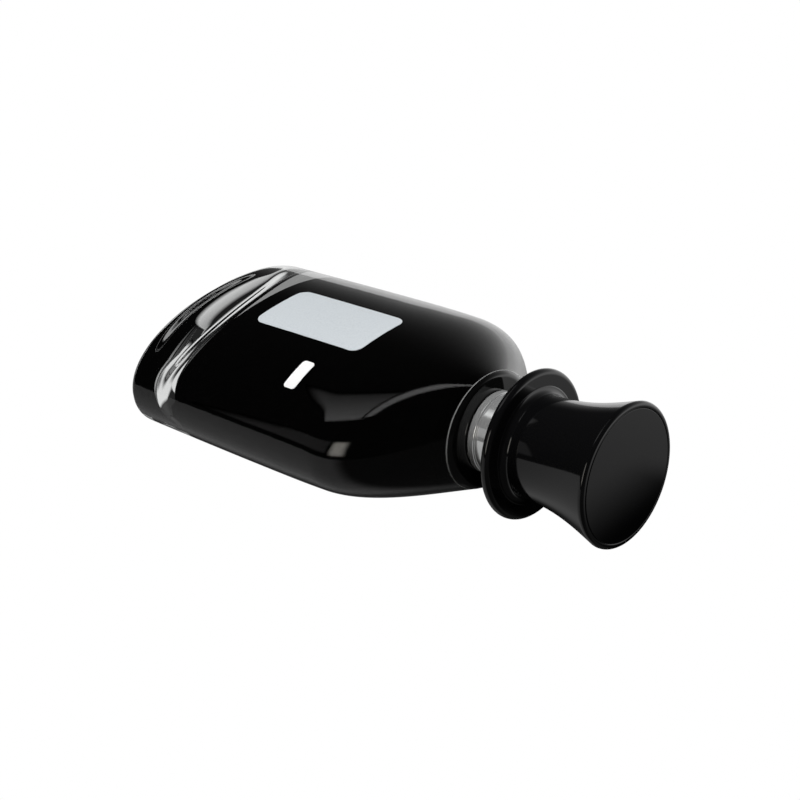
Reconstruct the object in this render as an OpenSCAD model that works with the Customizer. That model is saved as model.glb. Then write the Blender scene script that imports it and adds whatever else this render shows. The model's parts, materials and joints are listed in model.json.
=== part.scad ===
// Flat oval spray bottle in clear glass, black inside, with a blank printed panel and a
// top-hat overcap. It stands on Z = 0, with +Z up the neck, and its printed face looks along -Y.

/* [Bottle] */
// Width of the body just under the shoulders
body_w = 74.8; // [70:0.2:80]
// Width of the body at the foot
foot_w = 73.2; // [68:0.2:80]
// Depth of the body from printed face to back, at the shoulders
body_d = 37.2; // [34:0.2:40]
// Depth of the body at the foot
foot_d = 36.0; // [33:0.2:40]
// Height where the sides start to round over into the shoulders
side_shoulder_z = 69.5; // [60:0.5:75]
// Height where the front and back start to round over
face_shoulder_z = 58.0; // [50:0.5:70]
// Height of the round platform that the neck stands on
seat_z = 99.2; // [95:0.1:105]
// Radius of that platform
seat_r = 15.1; // [13:0.1:17]
// Thickness of the glass wall
wall = 2.8; // [2:0.1:4]
// Thickness of the solid glass base
base_t = 16.5; // [10:0.5:20]
// Radius of the rounded edge around the foot
foot_round = 2.6; // [1:0.1:4]
// Squareness of the oval section, where 2 is an ellipse
oval_power = 2.16; // [2:0.02:2.8]

/* [Neck and pump] */
// Outer radius of the neck under its lip
neck_r = 6.3; // [6:0.1:6.6]
// Outer radius of the crimp lip
lip_r = 7.5; // [7.4:0.05:7.6]
// Radius of the bore through the neck
bore_r = 4.75; // [4.6:0.05:4.9]
// Height of the neck's mouth above the platform
mouth_h = 8.1; // [7.5:0.1:9]
// Stroke of the spray button
stroke = 4.5; // [3:0.1:4.6]
// Radius of the pump stem
stem_r = 1.6; // [1.4:0.05:1.7]
// Radial clearance of the parts that slide
slide_gap = 0.04; // [0.02:0.01:0.08]

/* [Collar and button] */
// Outer radius of the collar's visible skirt
collar_r = 10.5; // [10:0.1:11]
// Outer radius of the collar's upper sleeve, which the cap slides over
sleeve_r = 9.0; // [8.8:0.05:9.2]
// Height of the step on which the cap rests
cap_rest_z = 110.2; // [109:0.1:111]
// Top of the collar's sleeve
sleeve_top_z = 115.6; // [115:0.1:117]
// Radius of the spray button
button_r = 6.8; // [6:0.1:6.9]
// Top of the spray button at rest
button_top_z = 126.2; // [125:0.1:127]

/* [Hat cap] */
// Radius of the crown's flat top
crown_top_r = 18.5; // [17:0.1:19]
// Radius of the crown's waist just above the brim
crown_waist_r = 13.4; // [13.2:0.1:14]
// Height of the crown's flat top
crown_top_z = 140.5; // [139:0.1:142]
// Outer radius of the brim
brim_r = 19.5; // [18.5:0.1:20.5]
// Thickness of the brim, which has a full round edge
brim_t = 2.6; // [2:0.1:2.6]

/* [Print] */
// Thickness of the fired white print
print_t = 0.08; // [0.05:0.01:0.15]
// Height of the blank front panel's lower edge
panel_z = 26; // [22:0.5:30]
// Width of the blank front panel
panel_w = 20; // [12:0.5:24]
// Height of the blank front panel
panel_h = 38; // [20:0.5:44]
// Radius of the front panel's corners
panel_corner = 3; // [1:0.5:6]

/* [Hidden] */
mark_x = 22.5;
mark_z = 55;
$fn = 96;
eps = 0.01;

// Body rings
ring_points = 64;
lacquer_t = 0.15;
lacquer_top_z = seat_z - 1.2;
ceiling_z = seat_z - 4.4;
shelf_z = seat_z - 0.8;
floor_round = 5.0;
side_power = [2.05, 1.11];
face_power = [1.7, 1.0];

// Neck and pump heights, from the platform up
neck_h = 4.1;
mouth_z = seat_z + mouth_h;
lip_z = seat_z + neck_h;
gasket_t = 0.8;
flange_z = mouth_z + gasket_t;
flange_t = 1.2;
flange_top_z = flange_z + flange_t;
flange_r = 7.2;
housing_r = 4.2;
chamber_r = 3.2;
chamber_z = 88.6;
ball_r = 1.25;
ball_pocket_r = 1.6;
inlet_r = 0.75;
inlet_top_z = 85.1;
ball_mid_z = inlet_top_z + ball_r * sqrt(2) - inlet_r + 0.01;
socket_z = 77.0;
socket_top_z = 83.6;
socket_r = 2.5;
tube_r = 1.5;
tube_bore_r = 0.8;
tube_foot_z = base_t + 1.4;

// Retainer, gasket, ferrule
retainer_z = flange_top_z - 3.2;
retainer_top_z = flange_top_z + 0.9;
stem_gasket_t = 0.8;
turret_r = 5.2;
turret_top_z = retainer_top_z + stem_gasket_t;
ferrule_t = 0.4;
ferrule_r = 8.0;

// Stem and piston: the piston rests against the retainer, and goes down by the stroke
piston_h = 4.4;
piston_top_z = retainer_z - 0.1;
stem_foot_z = piston_top_z - piston_h - 1.2;
stem_top_z = button_top_z - 5.0;
stem_bore_r = 0.7;
stem_flange_r = 2.7;
stem_neck_r = 1.25;

// Spring
spring_r = 2.35;
wire_r = 0.26;
spring_turns = 7;
spring_steps = 18;
spring_sides = 6;

// Button
button_foot_z = flange_top_z + ferrule_t + stroke + 0.3;
button_roof_z = turret_top_z + ferrule_t + stroke + 0.4;
nozzle_z = button_top_z - 4.4;
nozzle_r = 2.1;
nozzle_depth = 4.2;

// Cap
brim_z = cap_rest_z + 0.1;
brim_top_z = brim_z + brim_t;
spigot_r = 12.0;
liner_r = 11.0;
liner_grip_r = sleeve_r + 0.05;
liner_bore_r = 8.2;
liner_top_z = button_top_z + 8.2;
crown_wall = 1.5;
crown_edge = 1.0;
top_disc_t = 2.4;
top_disc_r = crown_top_r - 1.6;

function mix(a, b, t) = a + (b - a) * min(max(t, 0), 1);
function signed_pow(c, p) = sign(c) * pow(abs(c), p);
function shoulder_drop(u, p) = pow(max(1 - pow(min(max(u, 0), 1), p[0]), 0), p[1]);

// Half width and half depth of the outside at height z
function half_w(z) = seat_r + (mix(foot_w, body_w, z / side_shoulder_z) / 2 - seat_r)
    * shoulder_drop((z - side_shoulder_z) / (seat_z - side_shoulder_z), side_power);
function half_d(z) = seat_r + (mix(foot_d, body_d, z / face_shoulder_z) / 2 - seat_r)
    * shoulder_drop((z - face_shoulder_z) / (seat_z - face_shoulder_z), face_power);
// The oval turns into a circle towards the platform
function oval(z) = mix(oval_power, 2, pow(max(z - side_shoulder_z, 0)
    / (seat_z - side_shoulder_z), 3));

function ring(a, b, p, z) = [for (i = [0:ring_points - 1])
    let (t = 360 * i / ring_points)
    [a * signed_pow(cos(t), 2 / p), b * signed_pow(sin(t), 2 / p), z]];
// A ring of the outside, moved in by inset
function skin_ring(z, inset) = ring(half_w(z) - inset, half_d(z) - inset, oval(z), z);
// How far a quarter round of radius r is set in at height h above its lowest point
function round_inset(h, r) = r - sqrt(max(r * r - pow(r - min(h, r), 2), 0));

foot_steps = [0, 0.12, 0.35, 0.65, 1];
body_steps = [for (i = [1:6]) mix(foot_round, face_shoulder_z, i / 6)];
shoulder_steps = [for (i = [1:12]) mix(face_shoulder_z, shelf_z, 1 - pow(1 - i / 12, 1.4))];

// Rings up the outside of the glass, to the shelf round the platform
outer_rings = concat(
    [ring(0.5 * foot_w / 2, 0.5 * foot_d / 2, 2, 0.7)],
    [ring(0.72 * foot_w / 2, 0.72 * foot_d / 2, oval_power, 0)],
    [for (f = foot_steps)
        let (h = f * foot_round)
        ring(half_w(h) - round_inset(h, foot_round), half_d(h) - round_inset(h, foot_round),
             oval_power, h)],
    [for (z = concat(body_steps, shoulder_steps)) skin_ring(z, 0)]);

// Platform, neck with its crimp lip, and bore, down to the ceiling of the hollow
lip_edge = 0.6;
neck_outline = [
    [seat_r, shelf_z], [seat_r, seat_z - 0.3], [seat_r - 0.3, seat_z],
    [neck_r + 0.4, seat_z], [neck_r, seat_z + 0.4], [neck_r, lip_z - 0.5],
    [lip_r - 0.3, lip_z], [lip_r, lip_z + 0.4], [lip_r, mouth_z - lip_edge],
    [lip_r - lip_edge, mouth_z], [bore_r + 0.3, mouth_z], [bore_r, mouth_z - 0.3]];
neck_rings = [for (p = neck_outline) ring(p[0], p[0], 2, p[1])];

// Rings down the inside of the glass, or of the lacquer when t is its thickness
function inner_rings(t) = concat(
    [for (z = [lacquer_top_z, ceiling_z - t]) ring(bore_r - t, bore_r - t, 2, z)],
    [for (z = [ceiling_z - t, 91.6, 87, 81, 74.5, 66, 58, 44, 31]) skin_ring(z, wall + t)],
    [for (f = [1, 0.65, 0.35, 0.12, 0])
        let (h = f * (floor_round - t), z = base_t + t + h)
        skin_ring(z, wall + t + round_inset(h, floor_round - t))]);

// A solid skinned over a list of rings, closed by a flat face at each end. lean picks the
// other diagonal of each panel, so that a surface skinned upwards can meet one skinned down
module loft(rings, lean = false) {
    n = ring_points;
    last = len(rings) - 1;
    polyhedron(
        points = [for (r = rings) each r],
        faces = concat(
            [[for (i = [0:n - 1]) i]],
            [for (k = [0:last - 1], i = [0:n - 1])
                let (a = k * n + i, b = k * n + (i + 1) % n)
                each lean ? [[a, a + n, b], [b, a + n, b + n]]
                          : [[a, a + n, b + n], [a, b + n, b]]],
            [[for (i = [n - 1:-1:0]) last * n + i]]),
        convexity = 6);
}

// A round solid from an outline of [radius, height] points
module turned(outline) {
    rotate_extrude() polygon(outline);
}

module tube(r, bore, z0, z1) {
    turned([[bore, z0], [r, z0], [r, z1], [bore, z1]]);
}

module glass_bottle() {
    color([0.82, 0.86, 0.87, 0.5]) loft(concat(outer_rings, neck_rings, inner_rings(0)));
}

module inner_lacquer() {
    outside = inner_rings(0);
    color([0.02, 0.02, 0.022])
    loft(concat([for (i = [len(outside) - 1:-1:0]) outside[i]], inner_rings(lacquer_t)),
         lean = true);
}

// A thin patch that follows the printed face between two widths and two heights
module face_patch(x0, x1, z0, z1, nx, nz) {
    function face_y(x, z) = -half_d(z) * pow(1 - pow(abs(x) / half_w(z), oval(z)), 1 / oval(z));
    m = nx + 1;
    layer = m * (nz + 1);
    grid = [for (k = [0:nz], i = [0:nx]) [mix(x0, x1, i / nx), mix(z0, z1, k / nz)]];
    edge = concat([for (i = [0:nx - 1]) i], [for (k = [0:nz - 1]) k * m + nx],
                  [for (i = [nx:-1:1]) nz * m + i], [for (k = [nz:-1:1]) k * m]);
    polyhedron(
        points = concat([for (g = grid) [g[0], face_y(g[0], g[1]) - print_t - eps, g[1]]],
                        [for (g = grid) [g[0], face_y(g[0], g[1]) - eps, g[1]]]),
        faces = concat(
            [for (k = [0:nz - 1], i = [0:nx - 1])
                let (a = k * m + i)
                each [[a, a + m, a + m + 1], [a, a + m + 1, a + 1]]],
            [for (k = [0:nz - 1], i = [0:nx - 1])
                let (a = layer + k * m + i)
                each [[a, a + m + 1, a + m], [a, a + 1, a + m + 1]]],
            [for (i = [0:len(edge) - 1])
                let (a = edge[i], b = edge[(i + 1) % len(edge)])
                each [[a, b, b + layer], [a, b + layer, a + layer]]]));
}

// Pushes an outline of [x, z] points straight through the printed face
module through_face(outline) {
    rotate([90, 0, 0]) linear_extrude(height = 30) polygon(outline);
}

// Outline of a box with round corners about [x, z]
function round_box(x, z, w, h, r) = [for (c = [[1, 1, 0], [-1, 1, 90], [-1, -1, 180], [1, -1, 270]],
                                          a = [0:15:90])
    [x + c[0] * (w / 2 - r) + r * cos(c[2] + a), z + c[1] * (h / 2 - r) + r * sin(c[2] + a)]];

// A blank pale panel in the middle of the face
module front_panel_print() {
    color([0.85, 0.87, 0.88])
    intersection() {
        face_patch(-panel_w / 2 - 1, panel_w / 2 + 1, panel_z - 1, panel_z + panel_h + 1, 14, 16);
        through_face(round_box(0, panel_z + panel_h / 2, panel_w, panel_h, panel_corner));
    }
}

// A small blank white bar to the side
module side_mark_print() {
    color([0.96, 0.96, 0.96])
    intersection() {
        face_patch(mark_x - 5.5, mark_x + 5.5, mark_z - 3, mark_z + 3, 8, 4);
        through_face(round_box(mark_x, mark_z, 9, 4, 1));
    }
}

module neck_gasket() {
    color([0.15, 0.15, 0.16]) tube(flange_r, housing_r + 0.25, mouth_z, flange_z);
}

// Barrel with a flange, a snap-in ball pocket over its conical seat, and a socket for the tube
module pump_housing() {
    color([0.92, 0.92, 0.9])
    turned([[tube_r, socket_z], [socket_r, socket_z], [socket_r, socket_top_z],
            [housing_r, socket_top_z + 2.4], [housing_r, flange_z], [flange_r, flange_z],
            [flange_r, flange_top_z], [chamber_r, flange_top_z], [chamber_r, chamber_z],
            [ball_r - 0.15, chamber_z], [ball_r - 0.15, chamber_z - 0.4],
            [ball_pocket_r, chamber_z - 0.8],
            [ball_pocket_r, inlet_top_z + ball_pocket_r - inlet_r],
            [inlet_r, inlet_top_z], [inlet_r, socket_top_z], [tube_r, socket_top_z]]);
}

module dip_tube() {
    color([0.9, 0.92, 0.94, 0.6])
    difference() {
        tube(tube_r, tube_bore_r, tube_foot_z, socket_top_z);
        translate([0, 0, tube_foot_z]) rotate([0, 40, 0])
            translate([-4, -3, -6]) cube([8, 6, 6]);
    }
}

module check_ball() {
    color([0.75, 0.76, 0.78])
    translate([0, 0, ball_mid_z]) sphere(r = ball_r, $fn = 48);
}

// Centre line of the spring, with nearly flat end turns
function spring_z(s, z0, z1) = mix(z0, z1, s - 0.045 * sin(720 * s) / 1.2);

module pump_spring() {
    z0 = chamber_z + wire_r + 0.02;
    z1 = stem_foot_z - wire_r - 0.02;
    count = spring_turns * spring_steps;
    n = spring_sides;
    points = [for (k = [0:count], i = [0:n - 1])
        let (t = 360 * k / spring_steps, a = 360 * i / n,
             r = spring_r + wire_r * cos(a))
        [r * cos(t), r * sin(t), spring_z(k / count, z0, z1) + wire_r * sin(a)]];
    color([0.72, 0.73, 0.75])
    polyhedron(points = points,
        faces = concat(
            [[for (i = [0:n - 1]) i]],
            [for (k = [0:count - 1], i = [0:n - 1])
                let (j = (i + 1) % n)
                each [[k * n + i, (k + 1) * n + i, (k + 1) * n + j],
                      [k * n + i, (k + 1) * n + j, k * n + j]]],
            [[for (i = [n - 1:-1:0]) count * n + i]]));
}

// Piston with a sealing lip at each end
module piston() {
    seal_r = chamber_r - slide_gap;
    z0 = piston_top_z - piston_h;
    color([0.9, 0.9, 0.88])
    turned([[stem_neck_r, z0 + 0.8], [seal_r - 0.9, z0], [seal_r, z0],
            [seal_r, z0 + 0.9], [seal_r - 0.5, z0 + 1.5], [seal_r - 0.5, piston_top_z - 1.3],
            [seal_r, piston_top_z - 0.8], [seal_r, piston_top_z],
            [stem_r + 0.1, piston_top_z], [stem_neck_r, piston_top_z - 0.4]]);
}

module pump_stem() {
    neck_z0 = stem_foot_z + 1.2;
    color([0.93, 0.93, 0.92])
    turned([[stem_bore_r, stem_foot_z + 0.9], [0, stem_foot_z + 0.9], [0, stem_foot_z],
            [stem_flange_r, stem_foot_z], [stem_flange_r, neck_z0 - 0.7],
            [stem_neck_r, neck_z0 - 0.05], [stem_neck_r, piston_top_z - 0.4],
            [stem_r, piston_top_z], [stem_r, stem_top_z - 0.3],
            [stem_r - 0.2, stem_top_z], [stem_bore_r, stem_top_z]]);
}

module stem_retainer() {
    color([0.88, 0.88, 0.86])
    turned([[stem_r + slide_gap, retainer_z], [chamber_r, retainer_z],
            [chamber_r, flange_top_z], [turret_r - ferrule_t - 0.1, flange_top_z],
            [turret_r - ferrule_t - 0.1, retainer_top_z], [stem_r + slide_gap, retainer_top_z]]);
}

module stem_gasket() {
    color([0.18, 0.18, 0.19])
    tube(3.6, stem_r + slide_gap, retainer_top_z, retainer_top_z + stem_gasket_t);
}

// Aluminium cup crimped in under the glass lip, with a turret over the stem gasket
module crimp_ferrule() {
    roof_z = flange_top_z + ferrule_t;
    crimp_z = lip_z - 1.3;
    color([0.8, 0.81, 0.82])
    turned([[lip_r + 0.06, crimp_z + 1.1], [neck_r + 0.5, crimp_z + 0.5],
            [neck_r + 0.3, crimp_z], [ferrule_r - 0.4, crimp_z], [ferrule_r, crimp_z + 0.5],
            [ferrule_r, roof_z - 0.4], [ferrule_r - 0.4, roof_z], [turret_r, roof_z],
            [turret_r, turret_top_z + ferrule_t - 0.3],
            [turret_r - 0.3, turret_top_z + ferrule_t],
            [stem_r + 0.7, turret_top_z + ferrule_t], [stem_r + 0.7, turret_top_z],
            [turret_r - ferrule_t, turret_top_z], [turret_r - ferrule_t, flange_top_z],
            [lip_r + 0.06, flange_top_z]]);
}

// Moulded ring between the ferrule and the metal shell
insert_z = seat_z + 0.15;
insert_top_z = sleeve_top_z - 0.9;
module collar_insert() {
    color([0.25, 0.25, 0.26])
    turned([[ferrule_r, insert_z], [collar_r - 0.6, insert_z],
            [collar_r - 0.6, cap_rest_z - 0.5], [sleeve_r - 0.5, cap_rest_z - 0.5],
            [sleeve_r - 0.5, insert_top_z], [ferrule_r - 0.1, insert_top_z],
            [ferrule_r - 0.1, flange_top_z + ferrule_t], [ferrule_r, flange_top_z + ferrule_t]]);
}

// Polished metal shell: a skirt with a raised band at its foot, a step, and the upper sleeve
module collar_shell() {
    band_r = collar_r + 0.35;
    band_h = 2.2;
    inner_r = collar_r - 0.6;
    color([0.86, 0.87, 0.88])
    turned([[inner_r, insert_z], [band_r - 0.6, insert_z], [band_r - 0.18, insert_z + 0.18],
            [band_r, insert_z + 0.6], [band_r, insert_z + band_h - 0.3],
            [band_r - 0.3, insert_z + band_h], [collar_r, insert_z + band_h],
            [collar_r, cap_rest_z - 0.4], [collar_r - 0.4, cap_rest_z], [sleeve_r, cap_rest_z],
            [sleeve_r, sleeve_top_z - 0.4], [sleeve_r - 0.4, sleeve_top_z],
            [button_r + 0.5, sleeve_top_z], [button_r + 0.5, insert_top_z],
            [sleeve_r - 0.5, insert_top_z], [sleeve_r - 0.5, cap_rest_z - 0.5],
            [inner_r, cap_rest_z - 0.5]]);
}

// Spray button: a hollow cup with a socket for the stem and a pocket for the nozzle
module spray_button() {
    edge = 0.7;
    feed_r = 0.6;
    color([0.03, 0.03, 0.032])
    difference() {
        turned([[button_r - 1.0, button_foot_z], [button_r, button_foot_z],
                [button_r, button_top_z - edge], [button_r - edge, button_top_z - 0.05],
                [0, button_top_z - 0.45], [0, button_roof_z], [button_r - 1.0, button_roof_z]]);
        translate([0, 0, button_roof_z - 1])
            cylinder(r = stem_r + slide_gap, h = stem_top_z - button_roof_z + 1.1);
        translate([0, 0, stem_top_z - 1]) cylinder(r = feed_r - 0.1, h = nozzle_z - stem_top_z + 1);
        translate([0, -nozzle_depth, nozzle_z]) rotate([90, 0, 0]) cylinder(r = nozzle_r, h = button_r);
        translate([0, 1.2, nozzle_z]) rotate([90, 0, 0]) cylinder(r = feed_r, h = nozzle_depth + 2);
    }
}

module nozzle_insert() {
    color([0.9, 0.9, 0.9])
    translate([0, 0, nozzle_z]) rotate([90, 0, 0]) difference() {
        turned([[0, nozzle_depth], [nozzle_r, nozzle_depth], [nozzle_r, nozzle_depth + 1.9],
                [1.3, nozzle_depth + 2.1], [0.5, nozzle_depth + 1.7], [0, nozzle_depth + 1.7]]);
        translate([0, 0, nozzle_depth - 1]) cylinder(r = 0.2, h = 4);
    }
}

module cap_liner() {
    color([0.1, 0.1, 0.105])
    turned([[liner_grip_r + 0.3, brim_z], [liner_r, brim_z], [liner_r, liner_top_z],
            [0, liner_top_z], [0, liner_top_z - 1.4], [liner_bore_r, liner_top_z - 1.4],
            [liner_bore_r, sleeve_top_z + 0.9], [liner_grip_r, sleeve_top_z + 0.3],
            [liner_grip_r, brim_z + 0.4]]);
}

// Side of the crown: it flares from the waist to the top along a quarter-sine curve
crown_steps = 16;
function crown_r(s) = mix(crown_waist_r, crown_top_r, 1 - cos(90 * pow(s, 1.1)));
function crown_side(inset) = [for (i = [0:crown_steps])
    let (s = i / crown_steps)
    [crown_r(s) - inset, mix(brim_top_z + 0.9, crown_top_z - crown_edge, s)]];

module cap_crown() {
    side_in = crown_side(crown_wall);
    color([0.02, 0.02, 0.022])
    turned(concat(
        [[liner_r, brim_z], [spigot_r, brim_z], [spigot_r, brim_top_z],
         [crown_waist_r + 0.9, brim_top_z], [crown_waist_r + 0.85, brim_top_z + 0.2],
         [crown_waist_r + 0.27, brim_top_z + 0.45]],
        crown_side(0),
        [[crown_top_r - 0.3, crown_top_z - 0.3], [crown_top_r - crown_edge, crown_top_z],
         [top_disc_r, crown_top_z], [top_disc_r, crown_top_z - top_disc_t],
         [top_disc_r - 1.0, crown_top_z - top_disc_t]],
        [for (i = [crown_steps - 2:-1:0]) side_in[i]],
        [[liner_r, brim_top_z + 0.9]]));
}

module cap_crown_top() {
    color([0.02, 0.02, 0.022])
    turned([[0, crown_top_z - top_disc_t], [top_disc_r, crown_top_z - top_disc_t],
            [top_disc_r, crown_top_z], [0, crown_top_z]]);
}

module cap_brim() {
    edge_r = brim_t / 2;
    color([0.02, 0.02, 0.022])
    turned(concat(
        [[spigot_r, brim_z]],
        [for (a = [-90:15:90]) [brim_r - edge_r + edge_r * cos(a),
                                brim_z + edge_r + edge_r * sin(a)]],
        [[spigot_r, brim_top_z]]));
}

glass_bottle();
inner_lacquer();
front_panel_print();
side_mark_print();
neck_gasket();
pump_housing();
dip_tube();
check_ball();
pump_spring();
piston();
pump_stem();
stem_retainer();
stem_gasket();
crimp_ferrule();
collar_insert();
collar_shell();
spray_button();
nozzle_insert();
cap_liner();
cap_crown();
cap_crown_top();
cap_brim();
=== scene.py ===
"""The looks of a flat oval spray bottle with a top-hat cap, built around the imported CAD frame.

Lengths are in millimetres until a mesh is made, where MM turns them into metres.
"""

import json
import math

import bmesh
import bpy
from mathutils import Matrix, Vector


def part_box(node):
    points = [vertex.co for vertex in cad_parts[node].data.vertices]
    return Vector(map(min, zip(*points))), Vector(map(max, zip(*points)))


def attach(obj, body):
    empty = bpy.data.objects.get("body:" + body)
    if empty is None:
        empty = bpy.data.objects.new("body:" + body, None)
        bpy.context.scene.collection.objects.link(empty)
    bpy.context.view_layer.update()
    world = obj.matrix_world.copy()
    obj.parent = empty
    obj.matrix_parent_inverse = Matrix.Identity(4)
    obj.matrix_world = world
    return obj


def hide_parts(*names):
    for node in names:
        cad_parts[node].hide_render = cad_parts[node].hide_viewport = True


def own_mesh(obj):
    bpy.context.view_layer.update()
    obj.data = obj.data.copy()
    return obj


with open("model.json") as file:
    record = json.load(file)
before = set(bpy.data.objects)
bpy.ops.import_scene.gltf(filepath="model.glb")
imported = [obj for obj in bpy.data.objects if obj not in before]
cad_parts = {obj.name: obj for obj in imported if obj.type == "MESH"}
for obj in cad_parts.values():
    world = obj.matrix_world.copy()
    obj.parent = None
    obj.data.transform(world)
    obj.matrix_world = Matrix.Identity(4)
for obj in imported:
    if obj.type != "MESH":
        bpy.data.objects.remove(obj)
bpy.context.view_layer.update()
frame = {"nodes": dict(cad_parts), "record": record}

MM = 0.001
TURNS = 192        # points round a turned piece
RING_POINTS = 256  # points round the oval body


# ---------------------------------------------------------------- sizes from the frame

def low(node):
    """Lowest corner of a CAD node in millimetres."""
    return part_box(node)[0] / MM


def high(node):
    """Highest corner of a CAD node in millimetres."""
    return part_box(node)[1] / MM


# Body of the bottle: the same oval skin as the CAD's, drawn finer
BODY_W, FOOT_W = 74.8, 73.2
BODY_D, FOOT_D = 37.2, 36.0
SIDE_SHOULDER_Z, FACE_SHOULDER_Z = 69.5, 58.0
SEAT_Z, SEAT_R = 99.2, 15.1
SHELF_Z = SEAT_Z - 0.8
WALL, BASE_T = 2.8, 16.5
FOOT_ROUND, FLOOR_ROUND = 2.6, 5.0
OVAL_POWER = 2.16
SIDE_DROP, FACE_DROP = (2.05, 1.11), (1.7, 1.0)
NECK_R, LIP_R, BORE_R = 6.3, 7.5, 4.75
LIP_Z, MOUTH_Z = SEAT_Z + 4.1, high("glass_bottle").z
COAT_T, COAT_TOP_Z = 0.15, SEAT_Z - 1.2
CEILING_Z = SEAT_Z - 4.4
PRINT_T = 0.08

# Collar, button and cap
COLLAR_R, SLEEVE_R = 10.5, 9.0
COLLAR_Z, SLEEVE_TOP_Z = low("collar_shell").z, high("collar_shell").z
CAP_REST_Z = 110.2
BUTTON_R = high("spray_button").x
BUTTON_Z, BUTTON_TOP_Z = low("spray_button").z, high("spray_button").z
BRIM_R = high("cap_brim").x
BRIM_Z, BRIM_TOP_Z = low("cap_brim").z, high("cap_brim").z
SPIGOT_R, LINER_R = 12.0, high("cap_liner").x
WAIST_R, TOP_R = 13.4, high("cap_crown").x
TOP_Z = high("cap_crown").z
DISC_R, DISC_T = high("cap_crown_top").x, TOP_Z - low("cap_crown_top").z


def ease(a, b, t):
    """From a to b, arriving with no slope."""
    return a + (b - a) * math.sin(math.pi / 2 * min(max(t, 0), 1))


def shoulder_drop(u, power):
    return max(1 - min(max(u, 0), 1) ** power[0], 0) ** power[1]


def half_w(z):
    u = (z - SIDE_SHOULDER_Z) / (SEAT_Z - SIDE_SHOULDER_Z)
    return SEAT_R + (ease(FOOT_W, BODY_W, z / SIDE_SHOULDER_Z) / 2 - SEAT_R) * shoulder_drop(u, SIDE_DROP)


def half_d(z):
    u = (z - FACE_SHOULDER_Z) / (SEAT_Z - FACE_SHOULDER_Z)
    return SEAT_R + (ease(FOOT_D, BODY_D, z / FACE_SHOULDER_Z) / 2 - SEAT_R) * shoulder_drop(u, FACE_DROP)


def oval(z):
    u = max(z - SIDE_SHOULDER_Z, 0) / (SEAT_Z - SIDE_SHOULDER_Z)
    return OVAL_POWER + (2 - OVAL_POWER) * min(u ** 3, 1)


def signed_pow(c, p):
    return math.copysign(abs(c) ** p, c)


def ring(a, b, p, z):
    """A closed oval of half axes a and b at height z."""
    turn = [2 * math.pi * i / RING_POINTS for i in range(RING_POINTS)]
    return [(a * signed_pow(math.cos(t), 2 / p), b * signed_pow(math.sin(t), 2 / p), z) for t in turn]


def skin_ring(z, inset=0.0):
    return ring(half_w(z) - inset, half_d(z) - inset, oval(z), z)


def round_inset(h, r):
    """How far a quarter round of radius r is set in at height h above its foot."""
    return r - math.sqrt(max(r * r - (r - min(h, r)) ** 2, 0))


def between(a, b, steps):
    """steps values after a, up to and with b."""
    return [a + (b - a) * (i + 1) / steps for i in range(steps)]


def quarter(r, steps):
    """Heights up a quarter round of radius r, spaced evenly by angle."""
    return [r * (1 - math.cos(math.pi / 2 * i / steps)) for i in range(steps + 1)]


# ---------------------------------------------------------------- mesh makers

def finish_piece(name, mesh, material, body, nodes, smooth=True):
    """Turns a bmesh in millimetres into a piece that rides on a body and stands for CAD nodes."""
    bmesh.ops.recalc_face_normals(mesh, faces=mesh.faces)
    bmesh.ops.scale(mesh, vec=(MM, MM, MM), verts=mesh.verts)
    data = bpy.data.meshes.new(name)
    mesh.to_mesh(data)
    mesh.free()
    for face in data.polygons:
        face.use_smooth = smooth
    piece = bpy.data.objects.new(name, data)
    bpy.context.scene.collection.objects.link(piece)
    data.materials.append(material)
    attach(piece, body)
    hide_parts(*nodes)
    return piece


def loft(mesh, rings):
    """Skins rings of equal length into mesh, and closes each end with a fan."""
    rows = [[mesh.verts.new(p) for p in r] for r in rings]
    n = len(rings[0])
    for lower, upper in zip(rows, rows[1:]):
        for i in range(n):
            j = (i + 1) % n
            mesh.faces.new((lower[i], lower[j], upper[j], upper[i]))
    for end in (rows[0], rows[-1]):
        middle = mesh.verts.new(sum((v.co for v in end), Vector()) / n)
        for i in range(n):
            mesh.faces.new((end[i], end[(i + 1) % n], middle))


def rounded(corners, steps=5, guard=0.04):
    """An outline of (radius, height, fillet) corners with its fillets drawn as arcs.

    A point just beyond each end of an arc keeps the flats beside it flat when shaded smooth."""
    out = []
    n = len(corners)
    for i, (r, z, fillet) in enumerate(corners):
        p = Vector((r, z))
        if fillet <= 0:
            out.append((r, z))
            continue
        before = (Vector(corners[i - 1][:2]) - p).normalized()
        after = (Vector(corners[(i + 1) % n][:2]) - p).normalized()
        half = before.angle(after) / 2
        reach = fillet / math.tan(half)
        centre = p + (before + after).normalized() * (fillet / math.sin(half))
        start, end = p + before * reach, p + after * reach
        a0 = math.atan2(start.y - centre.y, start.x - centre.x)
        a1 = math.atan2(end.y - centre.y, end.x - centre.x)
        sweep = (a1 - a0 + math.pi) % (2 * math.pi) - math.pi
        out.append(tuple(start + before * guard))
        for k in range(steps + 1):
            a = a0 + sweep * k / steps
            out.append((centre.x + fillet * math.cos(a), centre.y + fillet * math.sin(a)))
        out.append(tuple(end + after * guard))
    return out


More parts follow.
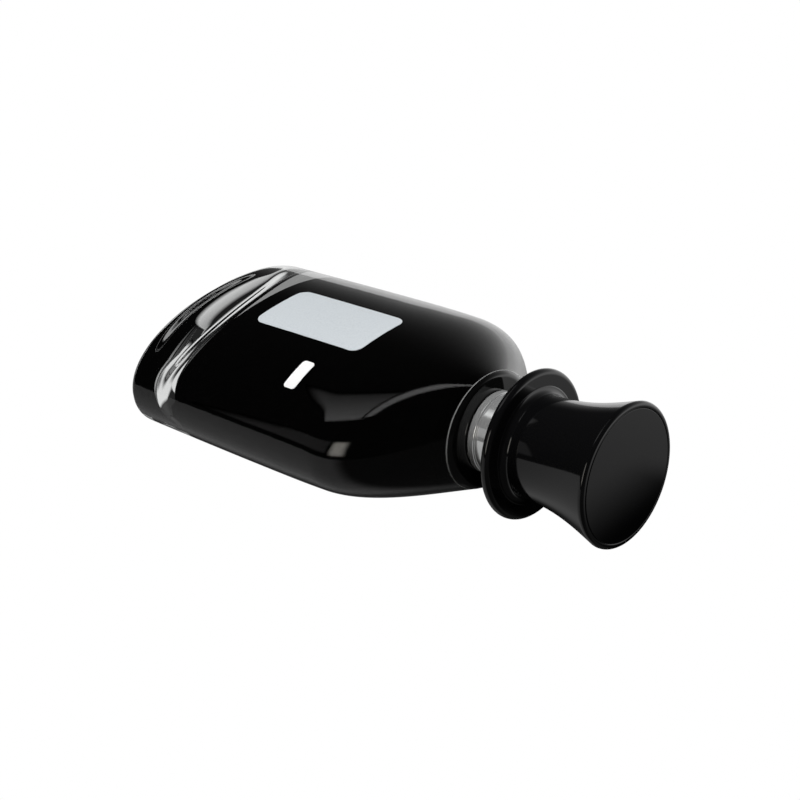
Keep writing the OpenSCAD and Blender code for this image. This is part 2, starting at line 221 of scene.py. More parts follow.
def turned(outline, turns=TURNS, axis="Z"):
    """A bmesh turned from an outline of (radius, height). A start or end at radius 0 closes it there."""
    mesh = bmesh.new()
    on_axis = [r < 1e-6 for r, z in outline]
    rows = []
    for r, z in outline:
        if r < 1e-6:
            rows.append([mesh.verts.new((0, 0, z))])
            continue
        angles = [2 * math.pi * i / turns for i in range(turns)]
        rows.append([mesh.verts.new((r * math.cos(a), r * math.sin(a), z)) for a in angles])
    pairs = list(zip(rows, rows[1:]))
    if not (on_axis[0] or on_axis[-1]):
        pairs.append((rows[-1], rows[0]))
    for a, b in pairs:
        if len(a) == 1 and len(b) == 1:
            continue
        for i in range(turns):
            j = (i + 1) % turns
            loop = [a[i % len(a)], a[j % len(a)], b[j % len(b)], b[i % len(b)]]
            mesh.faces.new(list(dict.fromkeys(loop)))
    if axis == "-Y":
        bmesh.ops.rotate(mesh, cent=(0, 0, 0), matrix=Matrix.Rotation(math.pi / 2, 3, "X"), verts=mesh.verts)
    return mesh


def cut_away(piece, cutter_mesh):
    """Cuts a solid, given as a bmesh in millimetres, out of a piece, and removes the cutter."""
    bmesh.ops.recalc_face_normals(cutter_mesh, faces=cutter_mesh.faces)
    bmesh.ops.scale(cutter_mesh, vec=(MM, MM, MM), verts=cutter_mesh.verts)
    data = bpy.data.meshes.new("cutter")
    cutter_mesh.to_mesh(data)
    cutter_mesh.free()
    cutter = bpy.data.objects.new("cutter", data)
    bpy.context.scene.collection.objects.link(cutter)
    cut = piece.modifiers.new("cut", "BOOLEAN")
    cut.object, cut.operation, cut.solver = cutter, "DIFFERENCE", "EXACT"
    bpy.context.view_layer.update()
    evaluated = piece.evaluated_get(bpy.context.evaluated_depsgraph_get())
    old, piece.data = piece.data, bpy.data.meshes.new_from_object(evaluated)
    piece.modifiers.clear()
    bpy.data.meshes.remove(old)
    bpy.data.objects.remove(cutter)
    piece.data.set_sharp_from_angle(angle=math.radians(40))


# ---------------------------------------------------------------- materials

def new_material(name, **settings):
    """A Principled material. settings are socket names with _ for a space, and their values."""
    material = bpy.data.materials.new(name)
    material.use_nodes = True
    shader = material.node_tree.nodes["Principled BSDF"]
    for key, value in settings.items():
        shader.inputs[key.replace("_", " ")].default_value = value
    return material, material.node_tree, shader


def noise(tree, scale, detail=3.0, stretch=(1, 1, 1)):
    """Noise in the object's own metres. scale is in features per metre."""
    place = tree.nodes.new("ShaderNodeTexCoord")
    spread = tree.nodes.new("ShaderNodeMapping")
    spread.inputs["Scale"].default_value = stretch
    texture = tree.nodes.new("ShaderNodeTexNoise")
    texture.inputs["Scale"].default_value = scale
    texture.inputs["Detail"].default_value = detail
    tree.links.new(place.outputs["Object"], spread.inputs["Vector"])
    tree.links.new(spread.outputs["Vector"], texture.inputs["Vector"])
    return texture.outputs["Fac"]


def ramp(tree, value, stops):
    """Maps a value to colours or greys: stops are (position, grey or colour)."""
    node = tree.nodes.new("ShaderNodeValToRGB")
    while len(node.color_ramp.elements) < len(stops):
        node.color_ramp.elements.new(1.0)
    for element, (position, colour) in zip(node.color_ramp.elements, stops):
        element.position = position
        element.color = (colour,) * 3 + (1,) if isinstance(colour, float) else (*colour, 1)
    tree.links.new(value, node.inputs["Fac"])
    return node.outputs["Color"]


def bump(tree, shader, height, strength, distance):
    """Raises the surface by height. distance is the real depth in metres."""
    node = tree.nodes.new("ShaderNodeBump")
    node.inputs["Strength"].default_value = strength
    node.inputs["Distance"].default_value = distance
    tree.links.new(height, node.inputs["Height"])
    tree.links.new(node.outputs["Normal"], shader.inputs["Normal"])


def calc(tree, operation, a, b=0.0):
    """One step of arithmetic on sockets or plain numbers."""
    node = tree.nodes.new("ShaderNodeMath")
    node.operation = operation
    for socket, value in zip(node.inputs, (a, b)):
        if isinstance(value, (int, float)):
            socket.default_value = value
        else:
            tree.links.new(value, socket)
    return node.outputs[0]


def rise(tree, value, start, end, curve="SMOOTHSTEP", low=0.0, high=1.0):
    """Goes from low at start to high at end, and stays level beyond them."""
    node = tree.nodes.new("ShaderNodeMapRange")
    node.interpolation_type = curve
    for key, number in (("From Min", start), ("From Max", end), ("To Min", low), ("To Max", high)):
        node.inputs[key].default_value = number
    tree.links.new(value, node.inputs["Value"])
    return node.outputs["Result"]


def position(tree, space="Object"):
    """The x, y and z sockets of a texture coordinate."""
    place = tree.nodes.new("ShaderNodeTexCoord")
    split = tree.nodes.new("ShaderNodeSeparateXYZ")
    tree.links.new(place.outputs[space], split.inputs["Vector"])
    return tuple(split.outputs)


def clear_glass():
    """Clear moulded glass with the faint waves that a mould leaves, lacquered black round the neck."""
    material, tree, shader = new_material("clear_glass", Roughness=0.004, IOR=1.51)
    top, fade = COAT_TOP_Z * MM, 0.0004
    clear = rise(tree, position(tree)[2], top, top - fade)
    tree.links.new(clear, shader.inputs["Transmission Weight"])
    tint = ramp(tree, clear, [(0.0, 0.002), (1.0, (0.985, 0.995, 0.99))])
    tree.links.new(tint, shader.inputs["Base Color"])
    bump(tree, shader, noise(tree, 40, 0.0, (1, 1, 0.5)), 0.1, 0.00004)
    return material


def black_coat():
    """Sprayed black lacquer seen through the glass: no gloss of its own, a trace of unevenness."""
    material, tree, shader = new_material("black_coat", Roughness=0.6, Specular_IOR_Level=0.0)
    colour = ramp(tree, noise(tree, 240, 4.0), [(0.3, 0.0008), (0.75, 0.0022)])
    tree.links.new(colour, shader.inputs["Base Color"])
    return material


def fired_print(name, dark, light):
    """Screen-printed ceramic ink: dense, a little chalky, with the pinholes of the screen."""
    material, tree, shader = new_material(name, Specular_IOR_Level=0.4)
    colour = ramp(tree, noise(tree, 2600, 3.0), [(0.25, dark), (0.6, light)])
    tree.links.new(colour, shader.inputs["Base Color"])
    rough = ramp(tree, noise(tree, 900, 2.0), [(0.3, 0.38), (0.7, 0.55)])
    tree.links.new(rough, shader.inputs["Roughness"])
    bump(tree, shader, noise(tree, 5200, 2.0), 0.25, 0.00002)
    return material


def gloss_black(name, base=0.003, rough=(0.05, 0.09)):
    """Black moulded plastic with a high gloss and a faint orange peel."""
    material, tree, shader = new_material(name, Base_Color=(base, base, base * 1.1, 1), IOR=1.5)
    tree.links.new(ramp(tree, noise(tree, 350, 3.0), [(0.3, rough[0]), (0.7, rough[1])]),
                   shader.inputs["Roughness"])
    bump(tree, shader, noise(tree, 420, 1.0), 0.12, 0.00002)
    return material


def polished_metal(name, colour, rough, metallic=1.0):
    """Plated metal with fine turning marks round the axis.

    Below 1, metallic leaves some of a pale satin base."""
    material, tree, shader = new_material(name, Base_Color=(*colour, 1), Metallic=metallic)
    marks = noise(tree, 500, 2.0, (0.03, 0.03, 4))
    tree.links.new(ramp(tree, marks, [(0.3, rough[0]), (0.75, rough[1])]), shader.inputs["Roughness"])
    bump(tree, shader, marks, 0.04, 0.000005)
    return material


def moulded_plastic(name, colour, rough=(0.3, 0.45), clear=0.0):
    """Satin moulded plastic with a fine grain."""
    material, tree, shader = new_material(name, IOR=1.48, Transmission_Weight=clear)
    darker = tuple(c * 0.88 for c in colour)
    tree.links.new(ramp(tree, noise(tree, 180, 4.0), [(0.3, darker), (0.65, colour)]),
                   shader.inputs["Base Color"])
    tree.links.new(ramp(tree, noise(tree, 700, 2.0), [(0.3, rough[0]), (0.7, rough[1])]),
                   shader.inputs["Roughness"])
    bump(tree, shader, noise(tree, 3200, 2.0), 0.2, 0.00002)
    return material


def black_rubber(name):
    return moulded_plastic(name, (0.03, 0.03, 0.031), (0.6, 0.8))


def drawn_steel(name):
    """Steel wire and ball, with drawing marks."""
    material, tree, shader = new_material(name, Base_Color=(0.6, 0.6, 0.62, 1), Metallic=1.0)
    tree.links.new(ramp(tree, noise(tree, 2500, 3.0), [(0.3, 0.15), (0.7, 0.32)]), shader.inputs["Roughness"])
    return material


MATERIALS = {
    "clear_glass": clear_glass(),
    "black_lacquer": black_coat(),
    "panel_print": fired_print("panel_ink", (0.56, 0.60, 0.63), (0.63, 0.67, 0.70)),
    "mark_print": fired_print("mark_ink", (0.93, 0.93, 0.93), (0.97, 0.97, 0.97)),
    "gasket_rubber": black_rubber("gasket_rubber"),
    "pump_plastic": moulded_plastic("pump_plastic", (0.8, 0.8, 0.77)),
    "tube_plastic": moulded_plastic("tube_plastic", (0.82, 0.84, 0.86), (0.2, 0.35), clear=0.6),
    "steel": drawn_steel("steel"),
    "ferrule_aluminium": polished_metal("ferrule_aluminium", (0.75, 0.76, 0.77), (0.2, 0.35)),
    "insert_plastic": moulded_plastic("insert_plastic", (0.06, 0.06, 0.063)),
    "collar_chrome": polished_metal("collar_chrome", (0.95, 0.96, 0.96), (0.09, 0.15), 0.78),
    "button_black": gloss_black("button_black", 0.006, (0.1, 0.18)),
    "nozzle_plastic": moulded_plastic("nozzle_plastic", (0.75, 0.75, 0.74), (0.2, 0.3)),
    "liner_plastic": moulded_plastic("liner_plastic", (0.02, 0.02, 0.021)),
    "hat_black": gloss_black("hat_black"),
}
for row in frame["record"]["subparts"]:
    data = frame["nodes"][row["node"]].data
    data.materials.clear()
    data.materials.append(MATERIALS[row["material_slot"]])


# ---------------------------------------------------------------- the bottle

def foot_rings():
    """Shallow recess under the foot, the ring it stands on, and the rounded edge."""
    recess, recess_z = 0.5, 0.7
    rings = [ring(s * recess * FOOT_W / 2, s * recess * FOOT_D / 2, 2, recess_z) for s in (0.4, 0.8, 0.98)]
    for t in between(0, 1, 8):
        scale = recess + 0.22 * t
        rings.append(ring(scale * FOOT_W / 2, scale * FOOT_D / 2, 2 + (OVAL_POWER - 2) * t,
                          recess_z * (0.5 + 0.5 * math.cos(math.pi * t))))
    rings.append(ring(0.76 * FOOT_W / 2, 0.76 * FOOT_D / 2, OVAL_POWER, 0))
    for h in quarter(FOOT_ROUND, 12):
        inset = round_inset(h, FOOT_ROUND)
        rings.append(ring(half_w(h) - inset, half_d(h) - inset, OVAL_POWER, h))
    return rings


def eased_edge(half, edge_z, flat_r, t):
    """Half width on a curve that leaves the shoulder at its own slope and ends level at flat_r."""
    start = half(edge_z)
    slope = (start - half(edge_z - 0.1)) / 0.1
    corner = start + slope * (SEAT_Z - edge_z)
    return start * (1 - t) ** 2 + corner * 2 * t * (1 - t) + flat_r * t * t


def neck_rings():
    """Rounded edge of the round platform, neck, crimp lip and mouth, as far as the bore."""
    edge_z, flat_r = SHELF_Z - 0.4, SEAT_R - 1.0
    edge = []
    for t in between(0, 1, 10):
        a, b = (eased_edge(half, edge_z, flat_r, t) for half in (half_w, half_d))
        edge.append(ring(a, b, 2, SEAT_Z - (SEAT_Z - edge_z) * (1 - t) ** 2))
    outline = rounded([
        (flat_r, SEAT_Z, 0), (NECK_R, SEAT_Z, 0.5), (NECK_R, LIP_Z - 0.5, 0), (LIP_R, LIP_Z, 0.3),
        (LIP_R, MOUTH_Z, 0.6), (BORE_R, MOUTH_Z, 0.3), (BORE_R, CEILING_Z, 0)])
    return edge + [ring(r, r, 2, z) for r, z in outline[1:-1]]


def cavity_rings(inset, top_z):
    """The hollow: down the bore, out along the ceiling, down the wall and in along its rounded floor."""
    flare = 1.0
    ceiling, bore_r = CEILING_Z + WALL - inset, BORE_R + WALL - inset
    floor_z, corner = BASE_T + inset - WALL, FLOOR_ROUND + WALL - inset
    rings = [ring(bore_r, bore_r, 2, z) for z in (top_z, ceiling + flare + 0.05)]
    for a in between(0, math.pi / 2, 6):
        r = bore_r + flare * (1 - math.cos(a))
        rings.append(ring(r, r, 2, ceiling + flare * (1 - math.sin(a))))
    r, a, b = bore_r + flare, half_w(ceiling) - inset, half_d(ceiling) - inset
    for s in between(0, 1, 4):
        rings.append(ring(r + (a - r) * s, r + (b - r) * s, 2 + (oval(ceiling) - 2) * s, ceiling))
    heights = between(ceiling, SIDE_SHOULDER_Z, 24) + between(SIDE_SHOULDER_Z, floor_z + corner, 14)
    rings += [skin_ring(z, inset) for z in heights]
    for h in reversed(quarter(corner, 10)[:-1]):
        rings.append(skin_ring(floor_z + h, inset + round_inset(h, corner)))
    a, b = half_w(floor_z) - inset - corner, half_d(floor_z) - inset - corner
    rings += [ring(s * a, s * b, OVAL_POWER, floor_z) for s in (0.8, 0.5, 0.2)]
    return rings


def body_heights():
    return (between(FOOT_ROUND, FACE_SHOULDER_Z, 16) + between(FACE_SHOULDER_Z, SIDE_SHOULDER_Z, 8)
            + [SIDE_SHOULDER_Z + (SHELF_Z - 0.4 - SIDE_SHOULDER_Z) * (1 - (1 - i / 40) ** 1.3)
               for i in range(1, 41)])


def make_glass():
    mesh = bmesh.new()
    loft(mesh, foot_rings() + [skin_ring(z) for z in body_heights()] + neck_rings()
         + cavity_rings(WALL, MOUTH_Z - 1))
    return finish_piece("bottle_glass", mesh, MATERIALS["clear_glass"], "bottle",
                        ["glass_bottle"])


def make_coat():
    """The coat reaches a hair into the glass round the wall. Under its floor a film of air is left."""
    bite = 0.02
    outside = cavity_rings(WALL - bite, COAT_TOP_Z)
    outside = [[(x, y, z + 2 * bite) if z < BASE_T else (x, y, z) for x, y, z in r] for r in outside]
    inside = cavity_rings(WALL + COAT_T, COAT_TOP_Z)
    mesh = bmesh.new()
    loft(mesh, list(reversed(outside)) + inside)
    return finish_piece("black_coat", mesh, MATERIALS["black_lacquer"], "bottle",
                        ["inner_lacquer"])


def face_y(x, z):
    """Depth of the printed face."""
    p = oval(z)
    return -half_d(z) * (1 - (abs(x) / half_w(z)) ** p) ** (1 / p)


def printed(name, outline, slot, node):
    """A thin print with this outline of (x, z), a few microns off the printed face."""
    off_glass = 0.004
    mesh = bmesh.new()
    mesh.faces.new([mesh.verts.new((x, 0, z)) for x, z in outline])
    xs, zs = [p[0] for p in outline], [p[1] for p in outline]
    cuts = [((x, 0, 0), (1, 0, 0)) for x in between(min(xs), max(xs), 24)[:-1]]
    cuts += [((0, 0, z), (0, 0, 1)) for z in between(min(zs), max(zs), 48)[:-1]]
    for point, normal in cuts:
        everything = mesh.verts[:] + mesh.edges[:] + mesh.faces[:]
        bmesh.ops.bisect_plane(mesh, geom=everything, plane_co=point, plane_no=normal)
    made = bmesh.ops.extrude_face_region(mesh, geom=mesh.faces[:] + mesh.edges[:] + mesh.verts[:])
    raised = {v for v in made["geom"] if isinstance(v, bmesh.types.BMVert)}
    for v in mesh.verts:
        v.co.y = face_y(v.co.x, v.co.z) - (PRINT_T if v in raised else off_glass)
    return finish_piece(name, mesh, MATERIALS[slot], "bottle", [node], smooth=False)


def round_box(node, r):
    """The box that a CAD print covers on the face, as an outline with corners of radius r."""
    a, b = low(node), high(node)
    middles = [(b.x - r, b.z - r), (a.x + r, b.z - r), (a.x + r, a.z + r), (b.x - r, a.z + r)]
    outline = []
    for corner, (x, z) in enumerate(middles):
        turn = [math.pi / 2 * (corner + k / 8) for k in range(9)]
        outline += [(x + r * math.cos(t), z + r * math.sin(t)) for t in turn]
    return outline


# ---------------------------------------------------------------- collar, button, cap

def make_collar():
    band_r, band_top = COLLAR_R + 0.35, COLLAR_Z + 2.2
    inner_r, mouth_r, step = COLLAR_R - 0.6, BUTTON_R + 0.5, CAP_REST_Z
    mesh = turned(rounded([
        (inner_r, COLLAR_Z, 0.1), (band_r, COLLAR_Z, 0.55), (band_r, band_top, 0.3),
        (COLLAR_R, band_top, 0.12), (COLLAR_R, step, 0.4), (SLEEVE_R, step, 0.1),
        (SLEEVE_R, SLEEVE_TOP_Z, 0.4), (mouth_r, SLEEVE_TOP_Z, 0.1),
        (mouth_r, SLEEVE_TOP_Z - 0.9, 0.1), (SLEEVE_R - 0.5, SLEEVE_TOP_Z - 0.9, 0.1),
        (SLEEVE_R - 0.5, step - 0.5, 0.1), (inner_r, step - 0.5, 0.1)]))
    return finish_piece("chrome_collar", mesh, MATERIALS["collar_chrome"], "bottle",
                        ["collar_shell"])


def make_brim():
    edge = (BRIM_TOP_Z - BRIM_Z) / 2
    outline = [(SPIGOT_R, BRIM_Z), (SPIGOT_R + 0.05, BRIM_Z), (BRIM_R - edge - 0.05, BRIM_Z)]
    for k in range(17):
        a = -math.pi / 2 + math.pi * k / 16
        outline.append((BRIM_R - edge + edge * math.cos(a), BRIM_Z + edge + edge * math.sin(a)))
    outline += [(BRIM_R - edge - 0.05, BRIM_TOP_Z), (SPIGOT_R + 0.05, BRIM_TOP_Z), (SPIGOT_R, BRIM_TOP_Z)]
    return finish_piece("hat_brim", turned(outline), MATERIALS["hat_black"], "cap", ["cap_brim"])


def crown_r(s):
    return WAIST_R + (TOP_R - WAIST_R) * (1 - math.cos(math.pi / 2 * s ** 1.1))


def make_crown():
    edge, wall, steps = 1.0, 1.5, 40
    flare_r, flare_h = 2.0, 1.7
    z0, z1 = BRIM_TOP_Z + flare_h, TOP_Z - edge
    side = [(crown_r(s / steps), z0 + (z1 - z0) * s / steps) for s in range(steps + 1)]
    rim = [(TOP_R - edge * (1 - math.cos(a)), z1 + edge * math.sin(a))
           for a in (math.pi / 2 * k / 8 for k in range(1, 9))]
    foot = [(LINER_R, BRIM_Z), (SPIGOT_R - 0.02, BRIM_Z), (SPIGOT_R - 0.02, BRIM_TOP_Z),
            (WAIST_R + flare_r, BRIM_TOP_Z), (WAIST_R + flare_r, BRIM_TOP_Z + 0.04)]
    foot += [(WAIST_R + flare_r * (1 - math.sin(a)), BRIM_TOP_Z + 0.04 + (flare_h - 0.04) * (1 - math.cos(a)))
             for a in between(0, math.pi / 2, 9)[:-1]]
    inside = [(r - wall, z) for r, z in reversed(side[:-4])]
    outline = (foot + side + rim + [(DISC_R + 0.02, TOP_Z), (DISC_R, TOP_Z - 0.05), (DISC_R, TOP_Z - DISC_T),
                                    (DISC_R - 1.0, TOP_Z - DISC_T)] + inside + [(LINER_R, BRIM_TOP_Z + 0.9)])
    return finish_piece("hat_crown", turned(outline), MATERIALS["hat_black"], "cap",
                        ["cap_crown"])


def make_crown_top():
    """The disc that closes the crown, a hair below its rim."""
    z0 = TOP_Z - DISC_T
    outline = rounded([(0, z0, 0), (DISC_R - 0.02, z0, 0.2), (DISC_R - 0.02, TOP_Z, 0.12), (0, TOP_Z, 0)])
    return finish_piece("hat_top", turned(outline), MATERIALS["hat_black"], "cap",
                        ["cap_crown_top"])


def make_liner():
    top_z = high("cap_liner").z
    grip_r, bore_r = SLEEVE_R + 0.05, 8.2
    outline = rounded([
        (grip_r, BRIM_Z, 0.3), (LINER_R - 0.01, BRIM_Z, 0.1), (LINER_R - 0.01, top_z, 0.5), (0, top_z, 0),
        (0, top_z - 1.4, 0), (bore_r, top_z - 1.4, 0.6), (bore_r, SLEEVE_TOP_Z + 0.9, 0.2),
        (grip_r, SLEEVE_TOP_Z + 0.3, 0.2)])
    return finish_piece("inner_cup", turned(outline), MATERIALS["liner_plastic"], "cap",
                        ["cap_liner"])


def make_button():
    roof_z = BUTTON_TOP_Z - 9.9
    nozzle_z, nozzle_r, nozzle_depth = BUTTON_TOP_Z - 4.4, 2.1, 4.2
    outline = rounded([
        (BUTTON_R - 1.0, BUTTON_Z, 0.15), (BUTTON_R, BUTTON_Z, 0.2), (BUTTON_R, BUTTON_TOP_Z, 0.7),
        (BUTTON_R - 1.4, BUTTON_TOP_Z - 0.02, 0.4), (0, BUTTON_TOP_Z - 0.5, 0), (0, roof_z, 0),
        (BUTTON_R - 1.0, roof_z, 0.3)])
    button = finish_piece("push_button", turned(outline), MATERIALS["button_black"], "button",
                          ["spray_button"])
    beyond = nozzle_depth + 6
    hole = turned([(0, nozzle_depth), (nozzle_r, nozzle_depth), (nozzle_r, beyond), (0, beyond)], 64, "-Y")
    bmesh.ops.translate(hole, vec=(0, 0, nozzle_z), verts=hole.verts)
    cut_away(button, hole)
    jet = rounded([(0, nozzle_depth, 0), (nozzle_r - 0.02, nozzle_depth, 0.1),
                   (nozzle_r - 0.02, nozzle_depth + 2.0, 0.25), (1.3, nozzle_depth + 2.1, 0.15),
                   (0.5, nozzle_depth + 1.7, 0.15), (0.2, nozzle_depth + 1.7, 0.05),
                   (0.2, nozzle_depth + 0.6, 0), (0, nozzle_depth + 0.6, 0)])
    insert = turned(jet, 64, "-Y")
    bmesh.ops.translate(insert, vec=(0, 0, nozzle_z), verts=insert.verts)
    finish_piece("jet_insert", insert, MATERIALS["nozzle_plastic"], "button",
                 ["nozzle_insert"])


def make_spring():
    """The return spring inside the pump."""
    wire_r, turns, steps, sides, press = 0.26, 7, 36, 12, 4.5
    foot_z, top_z = low("pump_spring").z, high("pump_spring").z
    coil_r, z0, z1 = high("pump_spring").x - wire_r, foot_z + wire_r, top_z - wire_r
    rings = []
    for k in range(turns * steps + 1):
        s, turn = k / (turns * steps), 2 * math.pi * k / steps
        z = z0 + (z1 - z0) * (s - 0.0375 * math.sin(4 * math.pi * s))
        rings.append([])
        for i in range(sides):
            a = 2 * math.pi * i / sides
            r = coil_r + wire_r * math.cos(a)
            rings[-1].append((r * math.cos(turn), r * math.sin(turn), z + wire_r * math.sin(a)))
    mesh = bmesh.new()
    loft(mesh, rings)
    spring = finish_piece("return_spring", mesh, MATERIALS["steel"], "bottle", ["pump_spring"])
    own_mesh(spring)


# ---------------------------------------------------------------- studio

def product(tree, *factors):
    total = factors[0]
    for factor in factors[1:]:
        total = calc(tree, "MULTIPLY", total, factor)
    return total


def emitter(name):
    """A material that only glows, its node tree and its glow node."""
    material = bpy.data.materials.new(name)
    material.use_nodes = True
    tree = material.node_tree
    tree.nodes.clear()
    glow = tree.nodes.new("ShaderNodeEmission")
    out = tree.nodes.new("ShaderNodeOutputMaterial")
    tree.links.new(glow.outputs["Emission"], out.inputs["Surface"])
    return material, tree, glow


def hide_from(thing, *rays):
    """Makes a light or a stage card invisible to these kinds of ray."""
    for ray in rays:
        setattr(thing, "visible_" + ray, False)


def stage_plane(name, width, height, material):
    x, y = width / 2, height / 2
    data = bpy.data.meshes.new(name)
    data.from_pydata([(-x, -y, 0), (x, -y, 0), (x, y, 0), (-x, y, 0)], [], [(0, 1, 2, 3)])
    data.materials.append(material)
    plane = bpy.data.objects.new(name, data)
    bpy.context.scene.collection.objects.link(plane)
    return plane


def glow_card(name, centre, across, up, size, strength, edge, start=1.0, tint=(1, 1, 1)):
    """A soft-edged light card that the camera doesn't see.

    start is the share of its strength at the side where across begins."""
    material, tree, glow = emitter(name + "_glow")
    glow.inputs["Color"].default_value = (*tint, 1)
    place = position(tree)
    soft = [rise(tree, calc(tree, "ABSOLUTE", place[i]), size[i] / 2, size[i] / 2 - edge) for i in (0, 1)]
    grade = rise(tree, place[0], -size[0] / 2, size[0] / 2, "LINEAR", start * strength, strength)
    tree.links.new(product(tree, *soft, grade), glow.inputs["Strength"])
    card = stage_plane(name, *size, material)
    across, up = Vector(across).normalized(), Vector(up).normalized()
    card.matrix_world = Matrix.Translation(centre) @ (
        Matrix((across, up, across.cross(up))).transposed().to_4x4())
    hide_from(card, "camera", "shadow")
    return card


def behind_back(x, gap, z):
    """Places a card upright behind the bottle's back at this gap, in metres."""
    return Matrix.Translation((x, BODY_D / 2 * MM + gap, z)) @ Matrix.Rotation(math.pi / 2, 4, "X")


def make_floor():
    """A plain pale floor that only the camera sees."""
    floor = stage_plane("floor", 6, 6, emitter("floor_white")[0])
    floor.location.z = -0.0002
    hide_from(floor, "glossy", "diffuse", "transmission")


def make_table():
    """The pale table close behind the bottle's back, seen only through the clear foot, as a card that glows
    with its light and shade painted in.

    Up the bottle: its painted shine beside the glass, a painted shadow line, a second painted shine, the
    painted shade of the body."""
    material, tree, glow = emitter("table_shine")
    height = rise(tree, position(tree)[1], 0.0, 0.02, "LINEAR")
    # Painted light and shade: lit bands of table, a painted shadow line where the glass shades it, and the
    # dark painted shade under the body
    near_shine = [(0.0, 0.3), (0.25, 0.95), (0.38, 0.75)]
    painted_shadow_line = [(0.47, 0.01), (0.58, 0.01)]
    second_shine = [(0.66, 0.45), (0.82, 0.68)]
    shine = ramp(tree, height, near_shine + painted_shadow_line + second_shine + [(0.9, 0.0)])
    tree.links.new(shine, glow.inputs["Strength"])
    table = stage_plane("table", 0.6, 0.6, material)
    table.matrix_world = behind_back(0, 0.001, 0)
    hide_from(table, "camera", "glossy", "diffuse", "shadow")


def make_hat_shade():
    """The dark patch that the hat leaves on the table behind it, which only reflections see."""
    material, tree, glow = emitter("hat_shade")
    x, y = position(tree)[:2]
    across = rise(tree, calc(tree, "ABSOLUTE", x), 0.026, 0.014)
    along = rise(tree, calc(tree, "ABSOLUTE", y), 0.042, 0.02)
    see_through = tree.nodes.new("ShaderNodeBsdfTransparent")
    blend = tree.nodes.new("ShaderNodeMixShader")
    tree.links.new(product(tree, across, along), blend.inputs["Fac"])
    tree.links.new(see_through.outputs["BSDF"], blend.inputs[1])
    tree.links.new(glow.outputs["Emission"], blend.inputs[2])
    tree.links.new(blend.outputs["Shader"], tree.nodes["Material Output"].inputs["Surface"])
    glow.inputs["Strength"].default_value = 0.0
    shade = stage_plane("hat_shade", 0.06, 0.1, material)
    shade.matrix_world = behind_back(-0.012, 0.0015, 0.125)
    hide_from(shade, "camera", "diffuse", "transmission", "shadow")


def studio_light(tree):
    """Brightness of the dark studio by direction: its ground level, the pale table behind the bottle's
    back as if it lay on it, that table's far part, and the glow over the table's far edge."""
    x, y, z = position(tree, "Generated")
    behind = rise(tree, y, -0.005, 0.01)
    before = rise(tree, y, 0.01, -0.005)
    toward = calc(tree, "ADD", calc(tree, "MULTIPLY", x, -0.985), calc(tree, "MULTIPLY", z, 0.174))
    ground = rise(tree, y, -0.005, 0.01, low=0.018, high=0.045)
    table = product(tree, rise(tree, z, 0.25, -0.1), rise(tree, x, -0.3, 0.1), behind, 0.31)
    fade = calc(tree, "EXPONENT", calc(tree, "MULTIPLY", y, 1 / 0.28))
    sky = product(tree, rise(tree, toward, 0.45, 0.95), fade, before, 1.05)
    far_table = product(tree, rise(tree, toward, 0.15, 0.75), rise(tree, y, 0.62, 0.2, low=0.1), behind, 1.1)
    return calc(tree, "ADD", calc(tree, "ADD", table, ground), calc(tree, "ADD", sky, far_table))


def make_world():
    """White to the camera, and the dark studio to every other ray."""
    world = bpy.data.worlds.new("studio")
    bpy.context.scene.world = world
    world.use_nodes = True
    tree = world.node_tree
    tree.nodes.clear()
    seen = tree.nodes.new("ShaderNodeLightPath").outputs["Is Camera Ray"]
    dimmed = calc(tree, "MULTIPLY", studio_light(tree), calc(tree, "SUBTRACT", 1.0, seen))
    back = tree.nodes.new("ShaderNodeBackground")
    back.inputs["Color"].default_value = (1, 1, 1, 1)
    out = tree.nodes.new("ShaderNodeOutputWorld")
    tree.links.new(calc(tree, "ADD", dimmed, seen), back.inputs["Strength"])
    tree.links.new(back.outputs["Background"], out.inputs["Surface"])


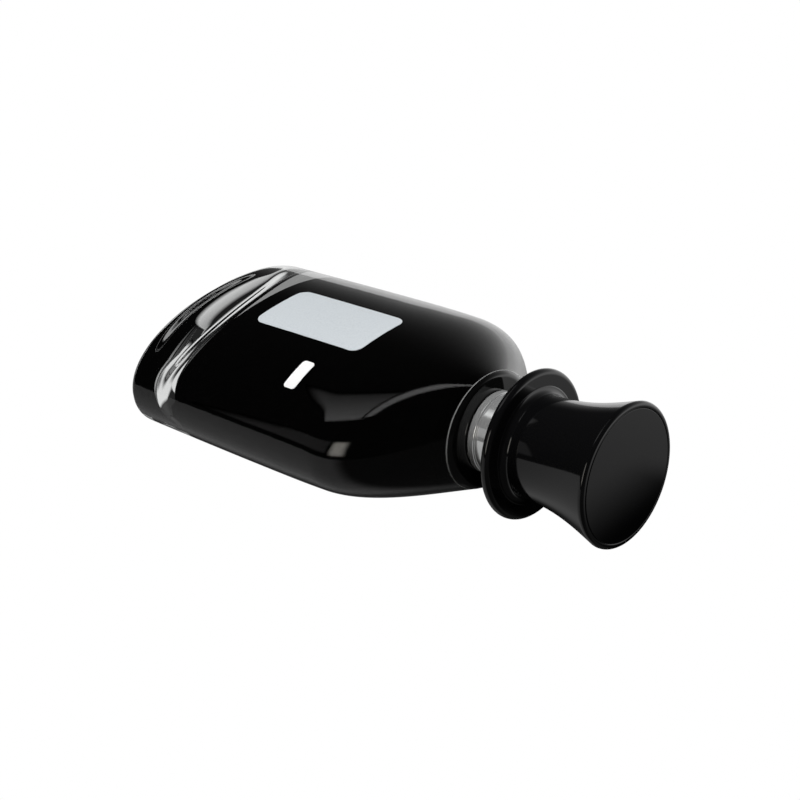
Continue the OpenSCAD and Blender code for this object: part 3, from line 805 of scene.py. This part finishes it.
def make_camera():
    """From above the right shoulder, rolled so that the cap points right."""
    azimuth, elevation, roll = math.radians(51.4), math.radians(38.1), math.radians(108.6)
    target, distance = Vector((0, 0, 0.0745)), 0.4588
    slide_right, slide_up = -0.0052, 0.0017
    back = Vector((math.sin(azimuth) * math.cos(elevation), -math.cos(azimuth) * math.cos(elevation),
                   math.sin(elevation)))
    level = Vector((0, 0, 1)).cross(back).normalized()
    upright = back.cross(level)
    right = level * math.cos(roll) + upright * math.sin(roll)
    up = upright * math.cos(roll) - level * math.sin(roll)
    data = bpy.data.cameras.new("camera")
    data.sensor_width, data.lens = 36, 78.84
    data.clip_start, data.clip_end = 0.01, 20
    camera = bpy.data.objects.new("camera", data)
    bpy.context.scene.collection.objects.link(camera)
    place = target + back * distance + right * slide_right + up * slide_up
    camera.matrix_world = Matrix.Translation(place) @ Matrix((right, up, back)).transposed().to_4x4()
    bpy.context.scene.camera = camera


def make_lights():
    """A soft box over the printed face towards the foot, with a narrow card along its upper rim. A window
    beyond the right side, with a dim card below it. A card beyond the foot that only rays through the
    glass see, and a fill for the print."""
    across, down = (0.955, 0, 0.297), (0.297, 0, -0.955)
    glow_card("softbox", (0.12, -1.0, -0.40), across, down, (0.62, 0.62), 1.1, 0.08, start=0.1)
    glow_card("softbox_rim", (-0.08, -0.99, -0.145), across, down, (0.74, 0.1), 1.3, 0.04)
    glow_card("window", (1.0, -0.45, 0.09), (0, 1, 0.08), (0, 0, 1), (0.76, 0.46), 2.9, 0.17,
              tint=(1, 0.96, 0.88))
    beyond = glow_card("beyond_foot", (-0.66, -0.39, -0.60), (0.7, 0, -0.7), (0, 1, 0), (0.3, 0.22), 0.75,
                       0.06)
    hide_from(beyond, "glossy", "diffuse")
    glow_card("window_foot", (1.0, -0.48, -0.55), (0, 1, 0), (0, 0, 1), (0.66, 0.9), 0.18, 0.12)
    data = bpy.data.lights.new("print_fill", "AREA")
    data.size, data.energy = 0.5, 15.2
    fill = bpy.data.objects.new("print_fill", data)
    bpy.context.scene.collection.objects.link(fill)
    fill.location = (0.1, -1.2, 0.3)
    fill.rotation_mode = "QUATERNION"
    fill.rotation_quaternion = (Vector((0, 0, 0.07)) - fill.location).to_track_quat("-Z", "Y")
    hide_from(fill, "camera", "glossy", "transmission")


make_world()
make_camera()
make_floor()
make_table()
make_hat_shade()
make_lights()
make_glass()
make_coat()
printed("front_panel", round_box("front_panel_print", 3), "panel_print", "front_panel_print")
printed("side_mark", round_box("side_mark_print", 1), "mark_print", "side_mark_print")
make_collar()
make_brim()
make_crown()
make_crown_top()
make_liner()
make_button()
make_spring()
bpy.context.scene.view_settings.view_transform = "Standard"
